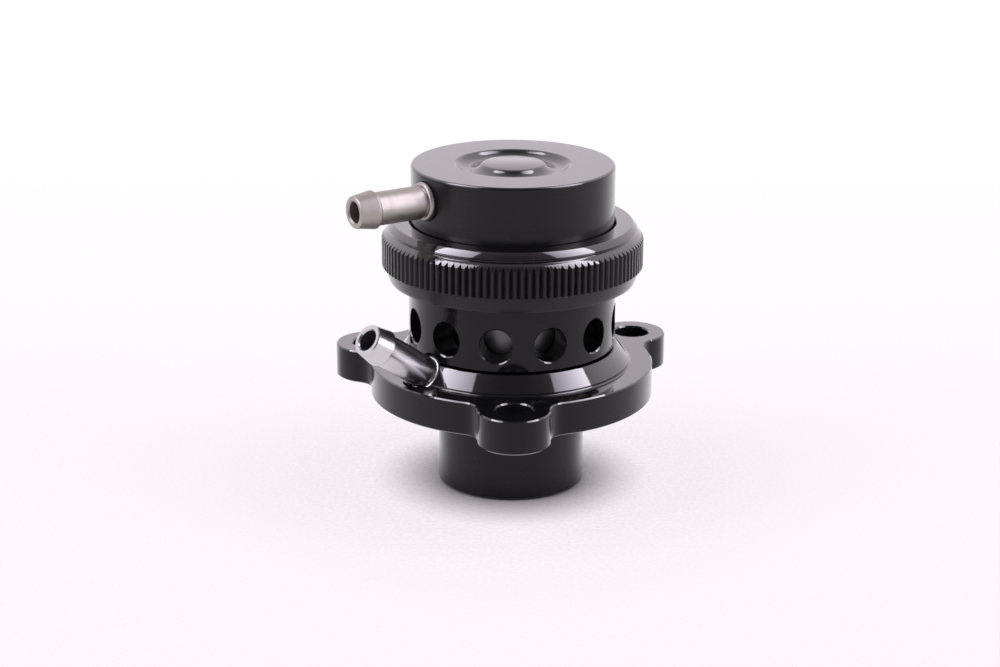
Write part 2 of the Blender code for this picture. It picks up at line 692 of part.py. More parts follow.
def spring_height(turn, turns, foot, span):
    """Height of the wire's centre after so many turns: close end turns, open ones between."""
    open_pitch = (span - 2 * END_PITCH) / ACTIVE_TURNS
    if turn <= 1:
        return foot + END_PITCH * turn
    if turn >= turns - 1:
        return foot + span - END_PITCH * (turns - turn)
    return foot + END_PITCH + open_pitch * (turn - 1)


def return_spring(look, parent):
    """Coil spring of round wire along a helix with closed ends."""
    turns = ACTIVE_TURNS + 2
    foot = SPRING_FOOT + WIRE_RADIUS
    span = SPRING_TOP - WIRE_RADIUS - foot
    curve = bpy.data.curves.new("return_spring", "CURVE")
    curve.dimensions = "3D"
    curve.bevel_depth = WIRE_RADIUS
    curve.bevel_resolution = 1
    curve.use_fill_caps = True
    spline = curve.splines.new("POLY")
    count = turns * TURN_ROUND + 1
    spline.points.add(count - 1)
    for i in range(count):
        turn = i / TURN_ROUND
        around = math.tau * turn
        height = spring_height(turn, turns, foot, span)
        spline.points[i].co = (COIL_RADIUS * math.cos(around), COIL_RADIUS * math.sin(around), height, 1.0)
    curve.materials.append(look)
    spring = bpy.data.objects.new("return_spring", curve)
    bpy.context.scene.collection.objects.link(spring)
    spring.parent = parent
    return spring


def rubber_ring(name, radius, height, wire, look, parent):
    return turned(name, ring_section(radius, height, wire), look, parent, INNER_ROUND)


def build():
    clear_scene()
    anodised = finish("black_anodised", (0.012, 0.012, 0.014), 0.25, 0.85)
    hard_anodised = finish("grey_anodised", (0.09, 0.09, 0.095), 0.35, 0.9)
    satin_steel = finish("satin_steel", (0.62, 0.58, 0.55), 0.32, 1.0)
    bright_steel = finish("bright_steel", (0.72, 0.72, 0.74), 0.16, 1.0)
    spring_steel = finish("spring_steel", (0.35, 0.35, 0.36), 0.3, 1.0)
    rubber = finish("black_rubber", (0.02, 0.02, 0.02), 0.7, 0.0)
    nylon = finish("white_nylon", (0.8, 0.79, 0.75), 0.5, 0.0)

    axis = empty("valve_axis", None, -plan_centre())
    piston_travel = empty("piston_travel", axis)
    cap_swivel = empty("cap_swivel", axis)
    ring_turn = empty("ring_turn", axis)

    base_port = outward(
        BASE_NIPPLE_AZIMUTH, BASE_NIPPLE_RISE, BASE_POCKET_AT_RADIUS, FLANGE_TOP + BASE_POCKET_ABOVE_FLANGE
    )
    base_drill = (BASE_POCKET_AT_RADIUS - INLET_RADIUS + NIPPLE_SHANK) / math.cos(math.radians(BASE_NIPPLE_RISE))
    base_pocket = port_tool("base_port_tool", BASE_POCKET_RADIUS, base_drill, base_port, axis)
    base_flange(anodised, axis, base_pocket)
    vent_body(anodised, axis, base_pocket)
    nipple("base_nipple", BASE_NIPPLE_REACH, bright_steel, axis, base_port)
    nipple_seal("base_nipple_seal", rubber, axis, base_port)

    cap_pocket_at = CAP_RADIUS - CAP_POCKET_DEPTH
    cap_port = outward(CAP_NIPPLE_AZIMUTH, 0, cap_pocket_at, CAP_TOP - CAP_NIPPLE_DROP)
    cap_drill = cap_pocket_at - CHAMBER_RADIUS + PORT_DRILL
    cap_pocket = port_tool("cap_port_tool", CAP_POCKET_RADIUS, cap_drill, cap_port, cap_swivel)
    top_cap(anodised, cap_swivel, cap_pocket)
    nipple("cap_nipple", CAP_NIPPLE_REACH, satin_steel, cap_swivel, cap_port)
    nipple_seal("cap_nipple_seal", rubber, cap_swivel, cap_port)

    clamp_ring(anodised, ring_turn)
    slip_foot = CAP_FLANGE_TOP + SEAL_CLEAR
    slip_top = RING_TOP - RING_LIP - SEAL_CLEAR
    washer("slip_washer", CAP_RADIUS + CLEAR, HEAD_RADIUS - CLEAR, slip_foot, slip_top, nylon, ring_turn)

    piston(hard_anodised, piston_travel)
    ring_radius = PISTON_RADIUS + SEAL_CLEAR / 2 - PISTON_RING_WIRE
    for name, level in zip(("piston_o_ring_lower", "piston_o_ring_upper"), SEAL_RING_LEVELS):
        rubber_ring(name, ring_radius, PISTON_FOOT + level, PISTON_RING_WIRE, rubber, piston_travel)
    washer("nose_seal", NOSE_SEAL_HOLE, NOSE_SEAL_RADIUS, NOSE_SEAL_FOOT, NOSE_SEAL_TOP, rubber, piston_travel)
    nose_retainer(hard_anodised, piston_travel)
    nose_screw(bright_steel, piston_travel)

    return_spring(spring_steel, axis)
    washer("spring_seat", WASHER_HOLE, WASHER_RADIUS, SPRING_SEAT_FOOT, SPRING_SEAT_TOP, nylon, cap_swivel)
    washer("preload_shim", WASHER_HOLE, WASHER_RADIUS, SHIM_FOOT, SHIM_TOP, bright_steel, cap_swivel)

    flange_ring_at = SPIGOT_LENGTH + FLANGE_RING_WIRE - CLEAR
    rubber_ring("flange_o_ring", FLANGE_RING_RADIUS, flange_ring_at, FLANGE_RING_WIRE, rubber, axis)
    tail_ring_at = TAIL_FOOT + THREAD_EDGE + BODY_RING_WIRE + SEAL_CLEAR
    tail_ring_radius = TAIL_RADIUS + SEAL_CLEAR / 2 - BODY_RING_WIRE
    rubber_ring("body_o_ring", tail_ring_radius, tail_ring_at, BODY_RING_WIRE, rubber, axis)
    cap_ring_at = (BODY_TOP - 2 * CAP_RING_WIRE + CAP_FOOT) / 2
    rubber_ring("cap_o_ring", CAP_RING_RADIUS, cap_ring_at, CAP_RING_WIRE, rubber, axis)


build()
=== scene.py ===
# %% [markdown]
# # A blow-off valve, dressed for its portrait
# The valve was built as a CAD model.  Here its plain solids get the shapes and finishes that a
# maker sees close up: drilled vents with broken edges, a cut knurl, turning marks and bright hose
# nipples.  Each new piece stands exactly where the CAD piece is, and moves with it.

# %% Load the frame
import json
import math

import bpy
from mathutils import Matrix, Vector


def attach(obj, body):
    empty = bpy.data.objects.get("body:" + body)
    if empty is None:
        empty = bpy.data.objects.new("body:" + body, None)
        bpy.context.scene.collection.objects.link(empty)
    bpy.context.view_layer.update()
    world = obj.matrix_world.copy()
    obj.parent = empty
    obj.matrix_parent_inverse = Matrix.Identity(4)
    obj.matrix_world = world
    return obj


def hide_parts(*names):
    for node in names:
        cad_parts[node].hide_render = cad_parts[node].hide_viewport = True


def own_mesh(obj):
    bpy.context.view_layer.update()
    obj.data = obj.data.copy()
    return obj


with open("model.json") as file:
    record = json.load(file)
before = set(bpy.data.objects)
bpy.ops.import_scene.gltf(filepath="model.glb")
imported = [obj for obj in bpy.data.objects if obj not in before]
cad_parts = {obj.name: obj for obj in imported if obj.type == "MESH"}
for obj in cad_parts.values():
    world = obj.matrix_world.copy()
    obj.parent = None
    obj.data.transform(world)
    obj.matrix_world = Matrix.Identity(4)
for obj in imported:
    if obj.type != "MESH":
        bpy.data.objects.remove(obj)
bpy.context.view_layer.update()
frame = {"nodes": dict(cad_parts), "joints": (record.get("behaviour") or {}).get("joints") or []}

MM = 0.001
joints = {joint["name"]: joint for joint in frame["joints"]}
AXIS = Vector(joints["cap_swivel"]["pos_m"])
AXIS.z = 0.0
print("the valve's axis stands at", tuple(round(value / MM, 2) for value in AXIS), "mm")

# %% [markdown]
# ## Working by hand, in code
# Almost every piece of this valve came off a lathe.  On a lathe only half an outline matters: the bar
# turns and the tool draws it.  In Blender the same thing is a chain of extruded points, spun once round
# the axis.  A mesh could also start from cylinders of many sizes, but their edges would have to be
# matched by hand.  The outlines below are (radius, height) in millimetres, heights above the spigot's end
# face.


# %% Draw a chain of points
def draw(name, points):
    """Extrude one vertex from point to point, in metres, and leave the chain in edit mode."""
    bpy.ops.object.select_all(action="DESELECT")
    bpy.ops.mesh.primitive_plane_add(size=MM)
    piece = bpy.context.object
    piece.name = name
    bpy.ops.object.mode_set(mode="EDIT")
    bpy.ops.mesh.select_all(action="SELECT")
    bpy.ops.mesh.merge(type="CENTER")
    here = Vector((0.0, 0.0, 0.0))
    bpy.ops.transform.translate(value=Vector(points[0]) - here)
    for start, end in zip(points, points[1:]):
        bpy.ops.mesh.extrude_region_move(TRANSFORM_OT_translate={"value": Vector(end) - Vector(start)})
    return piece


def arc(across, up, radius, start, end, steps):
    """Points of an arc round (across, up), from one angle to another in degrees."""
    turns = [math.radians(start + (end - start) * i / steps) for i in range(steps + 1)]
    return [(across + radius * math.cos(turn), up + radius * math.sin(turn)) for turn in turns]


# %% Spin an outline into a turned piece
def turn(name, outline, steps=256, closed=True, centre=AXIS):
    """Spin an outline of (radius, height) in millimetres round an upright axis."""
    if closed:
        outline = outline + [outline[0]]
    piece = draw(name, [centre + Vector((radius * MM, 0.0, height * MM)) for radius, height in outline])
    bpy.ops.mesh.select_all(action="SELECT")
    bpy.ops.mesh.spin(steps=steps, angle=math.tau, center=centre, axis=(0, 0, 1))
    bpy.ops.mesh.select_all(action="SELECT")
    bpy.ops.mesh.remove_doubles(threshold=0.002 * MM)
    bpy.ops.mesh.normals_make_consistent(inside=False)
    bpy.ops.object.mode_set(mode="OBJECT")
    return piece


# %% Choose a piece, and put it where it belongs
def choose(piece):
    bpy.ops.object.select_all(action="DESELECT")
    piece.select_set(True)
    bpy.context.view_layer.objects.active = piece


def stand(piece, place):
    """Move a piece that was turned at the origin to its place, and keep the place in its mesh."""
    piece.matrix_world = place
    choose(piece)
    bpy.ops.object.transform_apply(location=True, rotation=True, scale=True)
    return piece


# %% Cut a piece, and break its edges
def boolean(piece, tool, operation="DIFFERENCE"):
    """Cut a piece with a tool, or join the two, and put the tool away."""
    choose(piece)
    step = piece.modifiers.new("step", "BOOLEAN")
    step.operation = operation
    step.solver = "EXACT"
    step.object = tool
    bpy.ops.object.modifier_apply(modifier="step")
    bpy.data.objects.remove(tool)


def break_edges(piece, width, angle):
    """Give every edge sharper than the angle a small flat chamfer, width in millimetres."""
    choose(piece)
    step = piece.modifiers.new("step", "BEVEL")
    step.width = width * MM
    step.segments = 1
    step.limit_method = "ANGLE"
    step.angle_limit = math.radians(angle)
    bpy.ops.object.modifier_apply(modifier="step")


# %% Finish a piece
SHARP = 28


def finish_piece(piece, body, slot, material, *nodes):
    """Shade the piece, give it its finish, and let it stand for its CAD nodes on their body."""
    choose(piece)
    bpy.ops.object.shade_smooth_by_angle(angle=math.radians(SHARP))
    step = piece.modifiers.new("step", "WEIGHTED_NORMAL")
    step.keep_sharp = True
    bpy.ops.object.modifier_apply(modifier="step")
    piece.data.materials.clear()
    piece.data.materials.append(material)
    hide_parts(*nodes)
    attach(piece, body)
    print(f"{piece.name}: {len(piece.data.polygons)} faces, {slot}, on {body}")
    return piece


# %% Copy a piece round the axis, and point one outwards
def copies_round(piece, count):
    """Fill a circle round the valve's axis with copies of a piece, all in one mesh."""
    choose(piece)
    bpy.ops.object.mode_set(mode="EDIT")
    bpy.ops.mesh.select_all(action="SELECT")
    sweep = math.tau * (count - 1) / count
    bpy.ops.mesh.spin(steps=count - 1, angle=sweep, center=AXIS, axis=(0, 0, 1), dupli=True)
    bpy.ops.mesh.select_all(action="SELECT")
    bpy.ops.mesh.normals_make_consistent(inside=False)
    bpy.ops.object.mode_set(mode="OBJECT")


def heading(azimuth):
    """Unit vector in plan, for degrees from the front lug towards the right-hand one."""
    angle = math.radians(azimuth)
    return Vector((math.sin(angle), -math.cos(angle), 0.0))


def outward(azimuth, rise, radius, height):
    """Matrix that points a turned piece's own axis out of the valve, sizes in millimetres."""
    plan = heading(azimuth)
    slope = math.radians(rise)
    along = plan * math.cos(slope) + Vector((0, 0, math.sin(slope)))
    side = Vector((0, 0, 1)).cross(plan)
    upright = along.cross(side)
    turned = Matrix((side, upright, along)).transposed().to_4x4()
    return Matrix.Translation(AXIS + plan * radius * MM + Vector((0, 0, height * MM))) @ turned


# %% [markdown]
# ## Shader maths that reads like maths
# A finish is mostly arithmetic on the place of a point: how far from the axis, how high, how steep.
# Wiring dozens of Math nodes by hand is slow to read, so a small class wraps a socket and lets + - * /
# build them.  Materials, lamps and the world all get their nodes in the same way, from one method.


# %% A socket that can be added and multiplied
class Value:
    """One number from a shader socket.  Arithmetic on it adds Math nodes."""

    def __init__(self, nodes, socket):
        self.nodes = nodes
        self.socket = socket

    def math(self, operation, *others):
        values = dict(enumerate((self, *others)))
        made = self.nodes.node("ShaderNodeMath", {"operation": operation}, values)
        return Value(self.nodes, made.outputs[0])

    def __add__(self, other):
        return self.math("ADD", other)

    def __radd__(self, other):
        return self.math("ADD", other)

    def __sub__(self, other):
        return self.math("SUBTRACT", other)

    def __rsub__(self, other):
        return self.math("MULTIPLY", -1.0).math("ADD", other)

    def __mul__(self, other):
        return self.math("MULTIPLY", other)

    def __rmul__(self, other):
        return self.math("MULTIPLY", other)

    def __truediv__(self, other):
        return self.math("DIVIDE", other)

    def step(self, low, high):
        """0 below low, 1 above high, smooth between."""
        values = {0: self, 1: low, 2: high, 3: 0.0, 4: 1.0}
        made = self.nodes.node("ShaderNodeMapRange", {"interpolation_type": "SMOOTHSTEP"}, values)
        return Value(self.nodes, made.outputs[0])


# %% The node tree of a material, a lamp or the world
class Nodes:
    """A node tree, and the one way in which nodes are added to it."""

    def __init__(self, tree):
        self.tree = tree

    def node(self, kind, settings, values):
        """A node of a type, its settings set first, then the values or links of its sockets."""
        made = self.tree.nodes.new(kind)
        for setting, value in settings.items():
            setattr(made, setting, value)
        for socket, value in values.items():
            self.feed(made.inputs[socket], value)
        return made

    def feed(self, socket, value):
        if isinstance(value, Value):
            value = value.socket
        if isinstance(value, bpy.types.NodeSocket):
            self.tree.links.new(value, socket)
        else:
            socket.default_value = value


# %% A finish
class Finish(Nodes):
    """A material, with the patterns that its finish is made of.  A scale is in features per metre."""

    def __init__(self, name):
        self.material = bpy.data.materials.new(name)
        self.material.use_nodes = True
        super().__init__(self.material.node_tree)
        self.shader = self.tree.nodes["Principled BSDF"]

    def set(self, **values):
        """Feed the Principled shader; an underscore in a name stands for a space."""
        for name, value in values.items():
            self.feed(self.shader.inputs[name.replace("_", " ")], value)

    def place(self):
        """Object coordinates, in metres, which are the valve's own."""
        return self.node("ShaderNodeTexCoord", {}, {}).outputs["Object"]

    def along(self, vector, direction):
        values = {0: vector, 1: tuple(direction)}
        made = self.node("ShaderNodeVectorMath", {"operation": "DOT_PRODUCT"}, values)
        return Value(self, made.outputs["Value"])

    def polar(self, place=None):
        """Radius and height about an axis in millimetres, and the direction as a cosine and a sine."""
        place = place or Matrix.Translation(AXIS)
        origin = tuple(place.translation)
        turned = place.to_3x3()
        values = {0: self.place(), 1: origin}
        off = self.node("ShaderNodeVectorMath", {"operation": "SUBTRACT"}, values).outputs[0]
        side, upright, height = (self.along(off, turned.col[i] / MM) for i in range(3))
        radius = (side * side + upright * upright).math("SQRT")
        return radius, height, (side / radius, upright / radius)

    def vector(self, *parts):
        return self.node("ShaderNodeCombineXYZ", {}, dict(enumerate(parts))).outputs[0]

    def noise(self, vector, scale, detail=2.0, rough=0.5):
        values = {"Vector": vector, "Scale": scale, "Detail": detail, "Roughness": rough}
        return Value(self, self.node("ShaderNodeTexNoise", {}, values).outputs[0])

    def streaks(self, polar, across, around, detail=2.0, rough=0.6):
        """Noise in cycles per millimetre across the turning and per radian round it, with no seam."""
        radius, height, (east, north) = polar
        vector = self.vector(east * around, north * around, radius * across)
        values = {
            "Vector": vector,
            "W": height * across,
            "Scale": 1.0,
            "Detail": detail,
            "Roughness": rough,
        }
        return Value(self, self.node("ShaderNodeTexNoise", {"noise_dimensions": "4D"}, values).outputs[0])

    def steep(self):
        """How much a surface faces up or down: 0 on an upright wall, 1 on a flat top."""
        normal = self.node("ShaderNodeNewGeometry", {}, {}).outputs["Normal"]
        return self.along(normal, (0, 0, 1)).math("ABSOLUTE")

    def glancing(self):
        """0 where a surface is seen straight on, 1 along its silhouette."""
        return Value(self, self.node("ShaderNodeLayerWeight", {}, {"Blend": 0.5}).outputs["Facing"])

    def blend(self, share, first, second):
        """A colour between two, by a share from 0 to 1."""
        values = {0: share, 6: (*first, 1.0), 7: (*second, 1.0)}
        return self.node("ShaderNodeMix", {"data_type": "RGBA"}, values).outputs[2]

    def bump(self, height, strength, depth):
        """Dents that follow a height from 0 to 1, their depth in millimetres."""
        values = {"Height": height, "Strength": strength, "Distance": depth * MM}
        self.set(Normal=self.node("ShaderNodeBump", {}, values).outputs[0])


# %% [markdown]
# ## Black anodised aluminium
# The black is dye under a clear, glassy oxide, so the metal's own gloss is gone and what is left shines
# like dark glass: little light straight on, a mirror at a shallow angle.  Walls come out satin, while the
# faced tops and bevels are diamond-turned and bright.  A metallic shader would be too bright straight on,
# so this is a dielectric.  Its coat is the sealed skin of the oxide: it shows on the polished faces, and
# on every wall seen at a shallow angle.  Fine grooves follow the tool round the axis, its chatter crosses
# them, and a little dust sits on black.


# %% The anodised finish
def anodised(name, wall=0.26, face=0.08, dye=0.005, skin_blur=0.05):
    """Black finish.  Wall and face are roughnesses; dye greys the walls, skin_blur softens the coat."""
    finish = Finish(name)
    place = finish.place()
    polar = finish.polar()
    marks = finish.streaks(polar, across=6.0, around=0.8, detail=3.0)
    chatter = finish.streaks(polar, across=0.4, around=34.0)
    cloud = finish.noise(place, 140.0, 3.0)
    polished = finish.steep().step(0.35, 0.6)
    on_silhouette = finish.glancing().step(0.45, 0.9)
    specks = finish.noise(place, 6500.0, 0.0).step(0.84, 0.88)
    dust = specks * finish.noise(place, 260.0).step(0.52, 0.66)
    roughness = wall + polished * (face - wall) + (marks - 0.5) * 0.08 + (cloud - 0.5) * 0.06
    black_dye, grey_dust = (0.004, 0.004, 0.0045), (0.4, 0.39, 0.4)
    finish.set(
        Base_Color=finish.blend(dust * 0.4 + (1 - polished) * dye, black_dye, grey_dust),
        Roughness=roughness + dust * 0.4,
        Metallic=0.0,
        IOR=1.5,
        Specular_Tint=(0.45, 0.44, 0.47, 1.0),
        Coat_Weight=(on_silhouette * 0.8).math("MAXIMUM", polished * 0.9),
        Coat_Roughness=skin_blur,
        Coat_IOR=2.0,
    )
    finish.bump(marks + chatter * polished * 0.8, strength=0.25, depth=0.004)
    return finish.material


black = anodised("anodised_black", dye=0.004)
black_cap = anodised("anodised_black_cap", face=0.16, dye=0.008, skin_blur=0.13)
black_body = anodised("anodised_black_body", wall=0.08)
black_knurl = anodised("anodised_black_knurl", wall=0.3, dye=0.02)
print("black finishes:", black.name, black_cap.name, black_body.name, black_knurl.name)

# %% [markdown]
# ## Steel, rubber and nylon
# The two hose nipples are plain turned stainless.  The one in the cap is satin and slightly warm, with
# fine rings across its length where the tool travelled along it.  The one in the base is polished, and
# its rings hardly show.


# %% Bare metal finish
RING_GLOSS = 30.0


def turned_steel(name, place, colour, roughness, ring_depth):
    """Turned metal.  Deeper rings, in millimetres, also vary the gloss more."""
    finish = Finish(name)
    polar = finish.polar(place)
    rings = finish.streaks(polar, across=3.5, around=0.3)
    smear = finish.streaks(polar, across=0.8, around=1.5)
    darker = tuple(value * 0.93 for value in colour)
    finish.set(
        Base_Color=finish.blend(smear.step(0.35, 0.7), darker, colour),
        Roughness=roughness + (rings - 0.5) * (ring_depth * RING_GLOSS) + (smear - 0.5) * 0.04,
        Metallic=1.0,
    )
    finish.bump(rings, strength=0.15, depth=ring_depth)
    return finish.material


# %% Plain finishes for what is seen only through the vents
def soft_finish(name, colour, roughness, grain):
    finish = Finish(name)
    speckle = finish.noise(finish.place(), grain, 3.0)
    lighter = tuple(min(1.0, value * 1.5 + 0.01) for value in colour)
    finish.set(
        Base_Color=finish.blend(speckle.step(0.3, 0.8), colour, lighter),
        Roughness=roughness + (speckle - 0.5) * 0.15,
        Metallic=0.0,
    )
    finish.bump(speckle, strength=0.3, depth=0.01)
    return finish.material


CAP_PORT = outward(-57.7, 0.0, 17.6, 55.3)
BASE_PORT = outward(-51.0, 35.0, 18.96, 23.46)
UPRIGHT = Matrix.Translation(AXIS)
satin_steel = turned_steel("satin_steel", CAP_PORT, (0.42, 0.388, 0.365), 0.45, 0.01)
bright_steel = turned_steel("bright_steel", BASE_PORT, (0.66, 0.65, 0.67), 0.25, 0.0012)
grey_alloy = turned_steel("grey_hard_anodised", UPRIGHT, (0.17, 0.17, 0.175), 0.36, 0.006)
wire_steel = turned_steel("spring_wire", UPRIGHT, (0.3, 0.3, 0.31), 0.3, 0.004)
rubber = soft_finish("black_rubber", (0.018, 0.018, 0.018), 0.65, 1500.0)
nylon = soft_finish("white_nylon", (0.72, 0.71, 0.67), 0.5, 900.0)
print("bare metal and soft finishes:", len(bpy.data.materials), "materials in all")

# %% [markdown]
# ## The base
# One piece of bar: a spigot, a flange with three lugs and a cone that carries the vent body.  The
# flange's plan is arcs that run into each other, disc to hollow fillet to lug.  Rounding a union of
# cylinders with a bevel tears where the facets are smaller than the fillet, so the plan is drawn arc by
# arc and pulled up.

# %% Draw the flange's plan
FLANGE_FOOT, FLANGE_TOP = 16.9, 23.0
DISC, LUG_CIRCLE, LUG, FILLET = 25.87, 28.0, 6.37, 3.8
LUGS = (-109.5, 0.0, 124.4)


def flange_plan():
    near, far = DISC + FILLET, LUG + FILLET
    at_axis = math.degrees(math.acos((near**2 + LUG_CIRCLE**2 - far**2) / (2 * near * LUG_CIRCLE)))
    at_lug = math.degrees(math.acos((far**2 + LUG_CIRCLE**2 - near**2) / (2 * far * LUG_CIRCLE)))
    points = []
    for lug, following in zip(LUGS, LUGS[1:] + (LUGS[0] + 360,)):
        middle = heading(lug) * LUG_CIRCLE
        before = heading(lug - at_axis) * near
        after = heading(lug + at_axis) * near
        out = lug - 90
        points += arc(before.x, before.y, FILLET, out - at_axis + 180, out + at_lug, 16)
        points += arc(middle.x, middle.y, LUG, out + at_lug - 180, out + 180 - at_lug, 48)[1:]
        points += arc(after.x, after.y, FILLET, out - at_lug, out + at_axis - 180, 16)[1:]
        span = following - lug - 2 * at_axis
        points += arc(0, 0, DISC, out + at_axis, out + at_axis + span, round(span / 1.5))[1:-1]
    return points


plan = flange_plan()
base = draw("base_machined", [AXIS + Vector((x * MM, y * MM, FLANGE_FOOT * MM)) for x, y in plan])
bpy.ops.mesh.select_all(action="SELECT")
bpy.ops.mesh.edge_face_add()
bpy.ops.mesh.extrude_region_move(TRANSFORM_OT_translate={"value": (0, 0, (FLANGE_TOP - FLANGE_FOOT) * MM)})
bpy.ops.mesh.select_all(action="SELECT")
bpy.ops.mesh.normals_make_consistent(inside=False)
bpy.ops.object.mode_set(mode="OBJECT")
break_edges(base, 0.22, 60.0)
print("the flange's plan has", len(plan), "points")

# %% Turn the spigot and the cone, and join them to the flange
hub = turn("hub", [
    (0, 0),
    (12.95, 0),
    (13.4, 0.45),
    (13.4, 20),
    (22.05, 20),
    *arc(22.05, 23.39, 0.4, 270, 180, 5),
    (21.65, 23.5),
    (19.36, 26.12),
    (19.26, 26.2),
    (0, 26.2),
], closed=False)
boolean(base, hub, "UNION")
print("flange, cone and spigot in one:", len(base.data.polygons), "faces")

# %% Drill the bolt holes, cut the ring groove and the nipple's port, then bore the middle
for azimuth in LUGS:
    drill = turn("bolt_drill", [
        (0, 16),
        (4.45, 16),
        (3.3, 17.15),
        (3.3, 22.75),
        (4.45, 23.9),
        (0, 23.9),
    ], 64, False, AXIS + heading(azimuth) * LUG_CIRCLE * MM)
    boolean(base, drill)
groove = turn("ring_groove", [(15.6, 16), (17.6, 16), (17.6, 18.4), (15.6, 18.4)])
boolean(base, groove)


def port(spot_radius, drill_length, place):
    """A flat spot face, the threaded hole for a nipple and the fine drill behind it."""
    tool = turn("port", [
        (0, -drill_length),
        (1.2, -drill_length),
        (1.2, -3.0),
        (2.5, -2.5),
        (2.5, 0),
        (spot_radius - 0.15, 0),
        (spot_radius, 0.15),
        (spot_radius, 12),
        (0, 12),
    ], 64, False, Vector((0, 0, 0)))
    return stand(tool, place)


boolean(base, port(3.65, 13.4, BASE_PORT))
bore = turn("bore", [
    (0, -1),
    (11.5, -1),
    (10.2, 0.3),
    (10.2, 22.6),
    (14.9, 22.6),
    (14.9, 25.9),
    (15.9, 26.9),
    (0, 26.9),
], closed=False)
boolean(base, bore)
finish_piece(base, "base", "black_anodised", black, "base_flange")

# %% [markdown]
# ## The vent body
# A tube with a ring of drilled vents.  Each drill is followed by a countersink, so the rim catches the
# light at the top and bottom of a hole, where the round wall stands highest, and vanishes at its sides.
# One drill is modelled, and spun round the axis as eleven copies.

# %% Turn the tube
VENTS, VENT_TURN, VENT_LEVEL, VENT_RADIUS = 12, -9.6, 31.2, 3.1
tube = turn("body_machined", [
    (10.6, 22.9),
    (14.4, 22.9),
    (14.6, 23.1),
    (14.6, 23.3),
    (13.4, 23.3),
    (13.4, 24.8),
    (14.6, 24.8),
    (14.6, 26.5),
    (18.72, 26.5),
    (18.9, 26.68),
    (18.9, 39.9),
    *arc(19.2, 39.9, 0.3, 180, 90, 4)[1:],
    (20.6, 40.2),
    (21, 40.6),
    (21, 44.4),
    (20.6, 44.8),
    (17.8, 44.8),
    (17.8, 43.6),
    (16.2, 43.6),
    (16.2, 44.8),
    (13.9, 44.8),
    (13.7, 44.6),
    (13.7, 26.3),
    (10.9, 26.3),
    (10.4, 25.9),
    (10.4, 23.1),
], 360)
print("tube:", len(tube.data.polygons), "faces before the vents are drilled")

# %% Drill the vents
vent_drill = turn("vent_drill", [
    (0, 12.9),
    (VENT_RADIUS, 12.9),
    (VENT_RADIUS, 18.66),
    (VENT_RADIUS + 0.8, 19.46),
    (0, 19.46),
], 64, False, Vector((0, 0, 0)))
stand(vent_drill, outward(VENT_TURN, 0.0, 0.0, VENT_LEVEL))
copies_round(vent_drill, VENTS)
boolean(tube, vent_drill)
boolean(tube, port(3.65, 13.4, BASE_PORT))
finish_piece(tube, "base", "black_anodised", black_body, "vent_body")

# %% [markdown]
# ## The knurled clamp ring
# It holds the cap down and is turned by hand, so its widest band is cut with straight grooves.  On the
# real ring a cutter leaves V grooves that run out on the bevel above, which gives the saw-tooth edge.  A
# displaced cylinder would blur that edge, so here each groove is a wedge that is cut away, like the real
# one.

# %% Turn the ring
KNURLS, KNURL_RADIUS, KNURL_ROOT, KNURL_CREST = 114, 23.7, 23.06, 0.42
THREAD_TOP, THREAD_PITCH, THREAD_CREST, THREAD_ROOT = 40.6, 0.4, 21.3, 21.55
threads = []
for i in range(5):
    height = THREAD_TOP - THREAD_PITCH * i
    threads += [(THREAD_ROOT, height), (THREAD_CREST, height - THREAD_PITCH / 2)]
ring = turn("ring_knurled", [
    (22.3, 38.65),
    (22.62, 39.4),
    (23.02, 41.2),
    (23.1, 41.35),
    (23.6, 41.35),
    (KNURL_RADIUS, 41.45),
    (KNURL_RADIUS, 46.4),
    (23.62, 46.56),
    (22.84, 47.36),
    (22.7, 47.42),
    (22.35, 47.75),
    (22.35, 47.95),
    (22.58, 48.22),
    (22.58, 48.32),
    (21.72, 49.28),
    (21.58, 49.35),
    (18.85, 49.35),
    (18.7, 49.2),
    (18.7, 47.95),
    (21.3, 47.95),
    (21.3, 40.8),
    *threads,
    (21.6, 38.65),
], 456)
print("plain ring:", len(ring.data.polygons), "faces before the knurl is cut")

# %% Cut the knurl
WEDGE_REACH, WEDGE_FOOT, WEDGE_HEIGHT = 23.86, 41.1, 6.3
pitch = math.tau * KNURL_RADIUS / KNURLS
half_groove = (pitch - KNURL_CREST) / 2
half_mouth = half_groove * (WEDGE_REACH - KNURL_ROOT) / (KNURL_RADIUS - KNURL_ROOT)
corners = [(KNURL_ROOT, 0), (WEDGE_REACH, half_mouth), (WEDGE_REACH, -half_mouth)]
wedge = draw("knurl_wedge", [AXIS + Vector((x * MM, y * MM, WEDGE_FOOT * MM)) for x, y in corners])
bpy.ops.mesh.select_all(action="SELECT")
bpy.ops.mesh.edge_face_add()
bpy.ops.mesh.extrude_region_move(TRANSFORM_OT_translate={"value": (0, 0, WEDGE_HEIGHT * MM)})
bpy.ops.object.mode_set(mode="OBJECT")
copies_round(wedge, KNURLS)
boolean(ring, wedge)
finish_piece(ring, "ring", "black_anodised", black_knurl, "clamp_ring")
print(f"knurl: {KNURLS} grooves, {pitch:.2f} mm apart")

# %% [markdown]
# ## The cap
# A plain lid.  A round-nosed tool left a cove in its top, which shows as two soft rings of reflected
# light.

